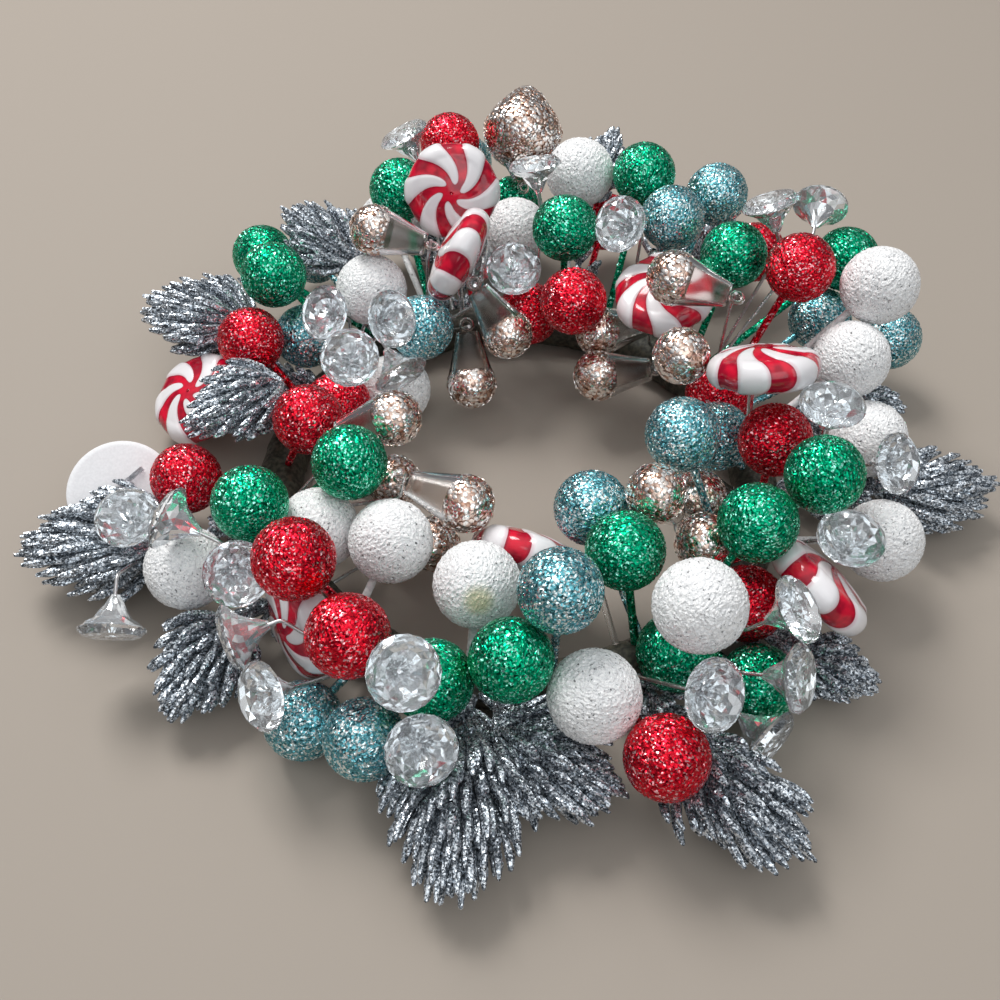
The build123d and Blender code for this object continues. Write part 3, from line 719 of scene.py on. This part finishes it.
def glitter(name, tones, cell=1900.0, lean=0.9, own_number=True, worn=None):
    """A coat of glitter in three tones of one colour. A coat with a worn place is sugar grain: a
    round bump for each coarse cell, rubbed off to the foam round that place."""
    deep, body, bright, metallic, dark_until, bright_from = tones
    material, tree, shader = new_material(name)
    flakes = tree.nodes.new("ShaderNodeGroup")
    flakes.node_tree = FLAKES
    asked = {
        "Cell Scale": cell, "Lean": lean, "Dark Until": dark_until, "Bright From": bright_from,
        "Deep": (*deep, 1), "Body": (*body, 1), "Bright": (*bright, 1),
    }
    for label, value in asked.items():
        flakes.inputs[label].default_value = value
    if own_number:
        number = attribute(tree, "flake")
    else:
        number = parts_of(tree, cells(tree, cell * COARSE_SHARE)["Color"])[0]
    tree.links.new(number, flakes.inputs["Flake"])
    colour, slope = flakes.outputs["Color"], flakes.outputs["Normal"]
    if worn is not None:
        away = vectors(tree, "DISTANCE", place_of(tree), [v * MM for v in worn])
        bare = span(tree, away, WORN_THROUGH * MM, WORN_REACH * MM, WORN_SHARE, 0.0)
        colour = mix_colours(tree, bare, colour, (*FOAM_COLOUR, 1))
        grain = span(tree, cells(tree, GRAIN_SCALE)["Distance"], 0.0, 0.7, 1.0, 0.0)
        bump = bump_of(tree, grain, GRAIN_STRENGTH, GRAIN_BUMP)
        tree.links.new(slope, bump.inputs["Normal"])
        slope = bump.outputs["Normal"]
    tree.links.new(colour, shader.inputs["Base Color"])
    tree.links.new(flakes.outputs["Roughness"], shader.inputs["Roughness"])
    tree.links.new(slope, shader.inputs["Normal"])
    shader.inputs["Metallic"].default_value = metallic
    return material


# Deep, body and bright colours, metal share, and where dark flakes end and bright ones begin
TONES = {
    "red": ((0.10, 0.0, 0.004), (0.76, 0.010, 0.030), (1.0, 0.58, 0.62), 0.94, 0.42, 0.70),
    "green": ((0.0, 0.022, 0.010), (0.0, 0.36, 0.175), (0.42, 1.0, 0.82), 0.94, 0.42, 0.68),
    "snow": ((0.03, 0.03, 0.035), (0.86, 0.87, 0.88), (1.0, 1.0, 1.0), 0.0, 0.2, 0.50),
    "ice": ((0.015, 0.08, 0.10), (0.14, 0.44, 0.51), (0.90, 1.0, 1.0), 0.92, 0.43, 0.56),
}
PINE_TONES = ((0.009, 0.012, 0.016), (0.18, 0.21, 0.245), (0.84, 0.90, 0.96), 0.7, 0.44, 0.50)
LEANS = {"red": 0.7, "green": 0.62, "snow": 0.25, "ice": 0.7}
CELLS = {"red": 2300.0, "green": 2300.0, "snow": 2900.0, "ice": 2300.0}

# Where the front snow ball's grain is rubbed through, out to where, and how bare it is there
WORN_PLACE = (-9.3, -59.8, 33.5)
WORN_THROUGH = 1.5
WORN_REACH = 5.0
WORN_SHARE = 0.8
FOAM_COLOUR = (0.62, 0.58, 0.34)


def mint_finish():
    """Boiled sugar look: opaque white petals and deep clear red ones under one varnish."""
    material, tree, shader = new_material("peppermint_swirl")
    stripe = attribute(tree, "stripe")
    thin = span(tree, cloud(tree, 260.0), 0.35, 0.65)
    red = mix_colours(tree, thin, (0.36, 0.0, 0.02, 1), (0.74, 0.005, 0.035, 1))
    edge = mix_colours(tree, span(tree, stripe, -0.5, -0.15), red, (0.34, 0.0, 0.026, 1))
    inward = span(tree, stripe, -0.1, 0.35)
    white = mix_colours(tree, inward, (0.80, 0.62, 0.66, 1), (0.87, 0.85, 0.87, 1))
    colour = mix_colours(tree, span(tree, stripe, -0.2, -0.12), edge, white)
    tree.links.new(colour, shader.inputs["Base Color"])
    tree.links.new(span(tree, stripe, -0.1, 0.1, 0.12, 0.25), shader.inputs["Roughness"])
    shader.inputs["Coat Weight"].default_value = 0.4
    shader.inputs["Coat Roughness"].default_value = 0.06
    return material


def clear_finish(name, colour, roughness, ior, mirror=0.0, clear=1.0):
    """Clear moulded plastic, with a share of mirror and of milky white where its facets throw
    light back."""
    material, _, shader = new_material(name)
    shader.inputs["Base Color"].default_value = (*colour, 1)
    shader.inputs["Roughness"].default_value = roughness
    shader.inputs["IOR"].default_value = ior
    shader.inputs["Transmission Weight"].default_value = clear
    shader.inputs["Metallic"].default_value = mirror
    return material


def sequin_finish():
    """Champagne foil: every sequin has its own tint, from copper to pale gold."""
    material, tree, shader = new_material("champagne_sequins")
    tint = attribute(tree, "flake")
    warm = mix_colours(tree, span(tree, tint, 0.0, 0.35), (0.50, 0.30, 0.22, 1), (0.98, 0.80, 0.70, 1))
    pale = mix_colours(tree, span(tree, tint, 0.26, 0.44), warm, (1.0, 0.965, 0.94, 1))
    tree.links.new(pale, shader.inputs["Base Color"])
    tree.links.new(span(tree, tint, 0.0, 1.0, 0.26, 0.10), shader.inputs["Roughness"])
    shader.inputs["Metallic"].default_value = 1.0
    return material


def wire_finish():
    """Drawn silver wire, dulled in patches."""
    material, tree, shader = new_material("silver_wire")
    patches = cloud(tree, 420.0)
    shine = span(tree, patches, 0.3, 0.7)
    colour = mix_colours(tree, shine, (0.55, 0.55, 0.56, 1), (0.85, 0.85, 0.86, 1))
    tree.links.new(colour, shader.inputs["Base Color"])
    tree.links.new(span(tree, patches, 0.3, 0.7, 0.38, 0.18), shader.inputs["Roughness"])
    shader.inputs["Metallic"].default_value = 1.0
    return material


def tape_finish_with_painted_shade():
    """Stretched crepe tape: olive, darkened further to near black as painted shade for the gaps between
    the stems, paler on its ridges, with fine cross wrinkles.
    """
    material, tree, shader = new_material("crepe_tape_painted_shade")
    ridges = cloud(tree, 900.0, 4.0)
    tone = span(tree, ridges, 0.3, 0.7)
    # painted shade: both tape colours sit well below the olive tape's own colour, so the gaps between
    # the stems read as shadowed
    colour = mix_colours(tree, tone, (0.016, 0.017, 0.012, 1), (0.075, 0.072, 0.05, 1))
    tree.links.new(colour, shader.inputs["Base Color"])
    tree.links.new(span(tree, ridges, 0.3, 0.7, 0.62, 0.45), shader.inputs["Roughness"])
    tree.links.new(bump_of(tree, ridges, 0.5, 0.2).outputs["Normal"], shader.inputs["Normal"])
    return material


def card_finish():
    """Uncoated white card with a faint fibre."""
    material, tree, shader = new_material("white_card")
    fibre = cloud(tree, 1500.0)
    tone = span(tree, fibre, 0.3, 0.7)
    colour = mix_colours(tree, tone, (0.86, 0.86, 0.88, 1), (0.93, 0.93, 0.95, 1))
    tree.links.new(colour, shader.inputs["Base Color"])
    tree.links.new(span(tree, fibre, 0.3, 0.7, 0.5, 0.65), shader.inputs["Roughness"])
    return material


def dress(node, material):
    """Gives a CAD node that stays a better finish."""
    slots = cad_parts[node].data.materials
    slots.clear()
    slots.append(material)


# The camera, at the photograph's viewing angle

CAMERA_PLACE = (-4.7, -196.5, 231.1)
CAMERA_TILT = 40.0
CAMERA_LENS = 39.6

lens = bpy.data.cameras.new("camera")
lens.sensor_width = 36.0
lens.lens = CAMERA_LENS
lens.clip_start = 0.01
camera = bpy.data.objects.new("camera", lens)
camera.location = [v * MM for v in CAMERA_PLACE]
camera.rotation_euler = (math.radians(CAMERA_TILT), 0, 0)
bpy.context.scene.collection.objects.link(camera)
bpy.context.scene.camera = camera

# The balls

balls = []
for colour, tones in TONES.items():
    worn = WORN_PLACE if colour == "snow" else None
    coat = glitter(f"{colour}_glitter", tones, CELLS[colour], LEANS[colour], worn=worn)
    stem_coat = glitter(f"{colour}_stem_glitter", tones, own_number=False)
    for row in ("inner", "top", "outer"):
        node = f"{colour}_balls_{row}"
        heap = Heap()
        for tris in solids(node):
            centre, radius = ball_of(tris)
            balls.append((centre, radius))
            if colour == "snow":
                glitter_ball(heap, centre, radius, GRAINS_PER_MM, GRAIN_LIFT)
            else:
                glitter_ball(heap, centre, radius, FLAKES_PER_MM, FLAKE_LIFT)
        piece(f"{colour}_glitter_balls_{row}", heap, coat, [node], tag="flake")
    dress(f"{colour}_ball_stems", stem_coat)

# The peppermints

swirl = mint_finish()
mints = []
for row in ("inner", "outer"):
    heap = Heap()
    for tris in solids(f"peppermints_{row}"):
        _, axis, _, _ = lie_of(tris)
        points = tris.reshape(-1, 3)
        way = frame_along(axis if axis[2] > 0 else -axis)
        local = points @ way.T
        centre = (local.min(axis=0) + local.max(axis=0)) / 2
        radius, half = (np.ptp(local, axis=0) / 2)[[0, 2]]
        mints.append((centre @ way, way[2], radius, half))
        shape, faces, stripe = mint_shape(radius, half)
        heap.add((shape + centre) @ way, faces, stripe)
    piece(f"peppermint_swirls_{row}", heap, swirl, [f"peppermints_{row}"],
          smooth=True, tag="stripe", domain="POINT")

# The jewels

gem = clear_finish("clear_jewel", (0.98, 0.99, 1.0), 0.02, 1.50)
silvered = clear_finish("silvered_facets", (0.95, 0.98, 1.0), 0.08, 1.50, 0.68, 0.30)
jewels = []
for row in ("inner", "top", "outer"):
    heap = Heap()
    for tris in solids(f"jewels_{row}"):
        centre, axis, low, high = lie_of(tris)
        axis = -axis
        girdle = centre + axis * (-low - JEWEL_CROWN * MM)
        out = tris.reshape(-1, 3) - centre
        radius = np.linalg.norm(out - np.outer(out @ axis, axis), axis=1).max() * JEWEL_FIT
        jewels.append((girdle, axis, radius))
        way = frame_along(axis)
        shape, faces, behind = jewel_shape(radius, JEWEL_CROWN * MM, high - low - JEWEL_CROWN * MM)
        heap.add(shape @ way + girdle, faces, behind)
    stones = piece(f"cut_jewels_{row}", heap, gem, [f"jewels_{row}"])
    stones.data.materials.append(silvered)
    stones.data.polygons.foreach_set("material_index", np.concatenate(heap.values).astype(np.int32))

# The sequin drops

foil = sequin_finish()
skin = clear_finish("clear_tail", (0.96, 0.92, 0.90), 0.2, 1.30)
drops = []
for node in ("sequin_drops_inner", "sequin_drops_top", "sequin_drop_large"):
    large = node == "sequin_drop_large"
    cover = SEQUIN_COVER_LARGE if large else SEQUIN_COVER
    top = math.asin(cover)
    brim = top * (TAIL_BRIM_LARGE if large else TAIL_BRIM)
    bulbs, tails = Heap(), Heap()
    for tris in solids(node):
        centre, axis, low, high = lie_of(tris)
        way = frame_along(axis)
        out = (tris.reshape(-1, 3) - centre) @ way.T
        radius = np.hypot(out[:, 0], out[:, 1]).max()
        heart = centre + axis * (low + radius)
        length = high - low - radius
        drops.append((heart, radius))

        # the bulb under the sequins takes one number for all its faces
        shape, faces = bulb_shape(radius, top)
        layers = [(shape, faces, np.full(sum(len(f) for f in faces), BULB_TINT))]
        layers.append(sequins_on(radius, cover))
        for shape, faces, numbers in layers:
            shape = shape @ way + heart
            bulbs.add(egg(shape, heart, radius) if large else shape, faces, numbers)

        # the eyelet's hole is the way across the tip in which the tip is thinnest
        shape, faces = tail_shape(radius, brim, length)
        tails.add(shape @ way + heart, faces)
        tip = out[out[:, 2] > high - TIP_LENGTH * MM]
        _, flat = np.linalg.eigh(tip[:, :2].T @ tip[:, :2])
        hole = flat[0, 0] * way[0] + flat[1, 0] * way[1]
        tails.add(*eyelet_shape(heart + axis * (length - EYELET_RING * MM), axis, hole))
    piece(node.replace("drop", "bulb"), bulbs, foil, [node], tag="flake")
    piece(node.replace("sequin_drop", "clear_tail"), tails, skin, smooth=True)

# The pine sprigs

frost = glitter("pine_glitter", PINE_TONES, cell=2900.0, lean=1.0, own_number=False)
heart_points = np.array([c for c, _ in balls] + [c for c, _, _ in jewels] + [c for c, _ in drops])
jewel_room = [JEWEL_ROOM * r for _, _, r in jewels]
heart_radii = np.array([r for _, r in balls] + jewel_room + [r for _, r in drops])


def clear_of_heads(path, radius):
    """Whether a needle's path keeps off the floor, the balls, the jewels, the bulbs and the mints."""
    if path[:, 2].min() < radius * 1.2:
        return False
    apart = np.linalg.norm(path[:, None] - heart_points, axis=2) - heart_radii
    if apart.min() < radius:
        return False
    for centre, axis, reach, half in mints:
        out = path - centre
        along = np.abs(out @ axis)
        across = np.linalg.norm(out - np.outer(out @ axis, axis), axis=1)
        if ((along < half + radius) & (across < reach + radius)).any():
            return False
    return True


def needle_path(start, axis, out, spread, reach):
    """A needle that leaves its core at a spread and bends on to lie along the axis: the way out
    eases off as it goes, and the way along speeds up."""
    s = np.linspace(0, 1, NEEDLE_STEPS)[:, None]
    along = s * math.cos(spread) + NEEDLE_BEND * s**2 * (1 - math.cos(spread))
    outward = NEEDLE_OUT * (1 - (1 - s) ** NEEDLE_EASE) * math.sin(spread)
    return start + reach * (along * axis + outward * out)


def clear_path(paths, radius):
    """The first of some paths that is clear of the heads, or none."""
    return next((path for path in paths if clear_of_heads(path, radius)), None)


for number, (angle, reach, rise, turn, tilt, length) in enumerate(SPRIGS, 1):
    base, axis = polar(angle, reach, rise), facing(turn, tilt)
    length = length * MM
    side = unit(np.cross(axis, UP))
    lift = np.cross(side, axis)
    tuft = Heap()
    count = round(NEEDLES_PER_MM * length / MM)
    radius = NEEDLE_RADIUS * MM
    for k in range(count):
        share = (k + 0.5) / count
        spread = math.radians(NEEDLE_SPREAD * (1 - share) + NEEDLE_TIP_SPREAD * share)
        start = base + axis * CORE_SHARE * length * share
        reach_k = length * NEEDLE_SHARE * draw.uniform(*NEEDLE_VARY)
        tries = []
        for cut in NEEDLE_CUTS:
            for roll in k * GOLDEN_ANGLE + NEEDLE_ROLLS:
                out = math.cos(roll) * side + NEEDLE_FLATTEN * math.sin(roll) * lift
                tries.append(needle_path(start, axis, out, spread, reach_k * cut))
        path = clear_path(tries, radius)
        if path is not None:
            tuft.add(*needle_shape(path, radius))
    s = np.linspace(0, 1, NEEDLE_STEPS)[:, None]
    tuft.add(*needle_shape(base + axis * length * (CORE_SHARE + (1 - CORE_SHARE) * s), radius))
    tuft.add(*needle_shape(base + axis * CORE_SHARE * length * s, CORE_RADIUS * MM))
    foot = polar(angle, HOOP_RADIUS, HOOP_RISE)
    stalks = [foot + (base - foot) * s + 4 * s * (1 - s) * bow * MM * side for bow in STALK_BOWS]
    stalk = clear_path(stalks, STALK_RADIUS * MM)
    stalk = stalks[0] if stalk is None else stalk
    tuft.add(*needle_shape(stalk, STALK_RADIUS * MM))
    run = np.linalg.norm(base - foot) / MM
    spread = math.radians(STALK_NEEDLE_SPREAD)
    for k in range(round(STALK_NEEDLES_PER_MM * run)):
        start = foot + (stalk - foot)[1 + k % (NEEDLE_STEPS - 1)] * draw.uniform(*STALK_NEEDLE_STRAY)
        reach_k = STALK_NEEDLE * MM * draw.uniform(*STALK_NEEDLE_VARY)
        tries = []
        for roll in k * GOLDEN_ANGLE + STALK_NEEDLE_ROLLS:
            out = math.cos(roll) * side + math.sin(roll) * lift
            tries.append(needle_path(start, axis, out, spread, reach_k))
        path = clear_path(tries, radius)
        if path is not None:
            tuft.add(*needle_shape(path, STALK_NEEDLE_GIRTH * radius))
    piece(f"frosted_pine_{number}", tuft, frost, [f"pine_sprig_{number}"])

# The taped hoop

theta = np.linspace(0, 2 * math.pi, TAPE_GRID[0], endpoint=False)[:, None]
phi = np.linspace(0, 2 * math.pi, TAPE_GRID[1], endpoint=False)[None, :]
lap = (TAPE_TURNS * theta / (2 * math.pi) + phi / (2 * math.pi)) % 1.0
crease = TAPE_CREASE * np.sin(9 * phi + 60 * lap) * np.sin(31 * theta)
thick = TAPE_RADIUS - TAPE_SINK + TAPE_STEP * lap + crease
reach = HOOP_RADIUS + thick * np.cos(phi)
height = np.maximum(HOOP_RISE + thick * np.sin(phi), 0.0)
winding = Heap()
winding.add(
    np.stack([reach * np.cos(theta), reach * np.sin(theta), height], -1).reshape(-1, 3) * MM,
    [grid_faces(*TAPE_GRID, True, True)],
)
piece("wound_tape", winding, tape_finish_with_painted_shade(), ["tape_wrap"], smooth=True)

silver = wire_finish()
dress("wire_hoop", silver)
dress("jewel_wires", silver)
dress("drop_wires", silver)
dress("peppermint_stems", clear_finish("clear_pick", (0.95, 0.95, 0.95), 0.1, 1.45))

# A round card tag, bare on both faces, and the nylon pin that ties it to a red ball's stem

TAG_PLACE = (-103.6, -10.0, 11.6)
TAG_RADIUS = 13.7
TAG_THICK = 0.4
TAG_CURL = 0.7
TAG_TURN, TAG_TILT = 285, 56
TAG_HOLE = (3.0, 3.5)
PIN_RADIUS = 0.45
PIN_LEAD = 6.0
PIN_BAR = 9.5
PIN_BAR_GIRTH = 1.4
PIN_KNEE = (-94.0, -2.5, 6.0)
PIN_TIE = (-80.0, -9.0, 11.0)

card_way = frame_along(facing(TAG_TURN, TAG_TILT))
face = np.stack([np.linspace(0, TAG_RADIUS, 12), np.full(12, TAG_THICK / 2)], -1)
rim = np.array([[TAG_RADIUS + TAG_THICK / 2, 0.0]])
shape, faces = turned(np.concatenate([face * [1, -1], rim, face[::-1]]), 96)
shape[:, 2] += TAG_CURL * (shape[:, 0] / TAG_RADIUS) ** 2
card = Heap()
card.add(shape * MM @ card_way + np.array(TAG_PLACE) * MM, faces)
piece("card_tag", card, card_finish(), smooth=True)

red_stems = np.concatenate([tris.mean(axis=1) for tris in solids("red_ball_stems")])
tie = red_stems[np.linalg.norm(red_stems - np.array(PIN_TIE) * MM, axis=1).argmin()]
through = (np.array([*TAG_HOLE, TAG_THICK]) * MM) @ card_way + np.array(TAG_PLACE) * MM
s = np.linspace(0, 1, 24)[:, None]
behind = through - card_way[2] * PIN_LEAD * MM
knee = np.array(PIN_KNEE) * MM
strand = (1 - s) ** 3 * through + 3 * s * (1 - s) ** 2 * behind + 3 * s**2 * (1 - s) * knee + s**3 * tie
bar_way = unit(card_way[0] * 0.85 + card_way[1] * 0.5)
bar = through + card_way[2] * PIN_RADIUS * MM + bar_way * PIN_BAR * MM * (s[::3] - 0.5)
pin = Heap()
pin.add(*tube(strand, PIN_RADIUS * MM))
pin.add(*tube(bar, PIN_BAR_GIRTH * PIN_RADIUS * MM))
piece("tag_pin", pin, clear_finish("nylon_pin", (0.62, 0.63, 0.66), 0.3, 1.5), smooth=True)

# The floor and the light

FLOOR_REACH = 3.0
FLOOR_COLOUR = (0.36, 0.315, 0.27)
FLOOR_ROUGHNESS = 0.7
ROOM_OVERHEAD = (1.0, 1.0, 1.0)
ROOM_HORIZON = (0.14, 0.14, 0.15)
ROOM_STRENGTH = 0.74

floor_mesh = bpy.data.meshes.new("floor")
corners = [(FLOOR_REACH * x, FLOOR_REACH * y, 0) for x, y in ((-1, -1), (1, -1), (1, 1), (-1, 1))]
floor_mesh.from_pydata(corners, [], [(0, 1, 2, 3)])
floor = bpy.data.objects.new("floor", floor_mesh)
bpy.context.scene.collection.objects.link(floor)
floor_paint, _, floor_shader = new_material("pale_floor")
floor_shader.inputs["Base Color"].default_value = (*FLOOR_COLOUR, 1)
floor_shader.inputs["Roughness"].default_value = FLOOR_ROUGHNESS
floor_mesh.materials.append(floor_paint)
floor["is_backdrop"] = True


def lamp(name, place, aim, size, power, colour):
    """A square soft light that faces a point."""
    light = bpy.data.lights.new(name, "AREA")
    light.size = size
    light.energy = power
    light.color = colour
    thing = bpy.data.objects.new(name, light)
    way = frame_along(unit(np.array(place) - np.array(aim)))
    thing.matrix_world = Matrix([[*way[:, r], place[r]] for r in range(3)] + [[0, 0, 0, 1]])
    bpy.context.scene.collection.objects.link(thing)


lamp("window", (-0.43, 0.68, 1.15), (0, 0, 0.03), 0.57, 14.0, (1.0, 0.98, 0.96))
lamp("fill", (0.25, -0.75, 0.9), (0, 0, 0.03), 1.0, 3.6, (0.90, 0.96, 1.0))

# a room that is bright overhead and dim along the horizon
world = bpy.data.worlds.new("room")
world.use_nodes = True
sky = world.node_tree
way = sky.nodes.new("ShaderNodeTexCoord")
split = sky.nodes.new("ShaderNodeSeparateXYZ")
sky.links.new(way.outputs["Generated"], split.inputs[0])
overhead = span(sky, split.outputs["Z"], 0.30, 0.95)
glow = mix_colours(sky, overhead, (*ROOM_HORIZON, 1), (*ROOM_OVERHEAD, 1))
sky.links.new(glow, sky.nodes["Background"].inputs["Color"])
sky.nodes["Background"].inputs["Strength"].default_value = ROOM_STRENGTH
bpy.context.scene.world = world
bpy.context.scene.view_settings.view_transform = "Standard"

low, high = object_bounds()
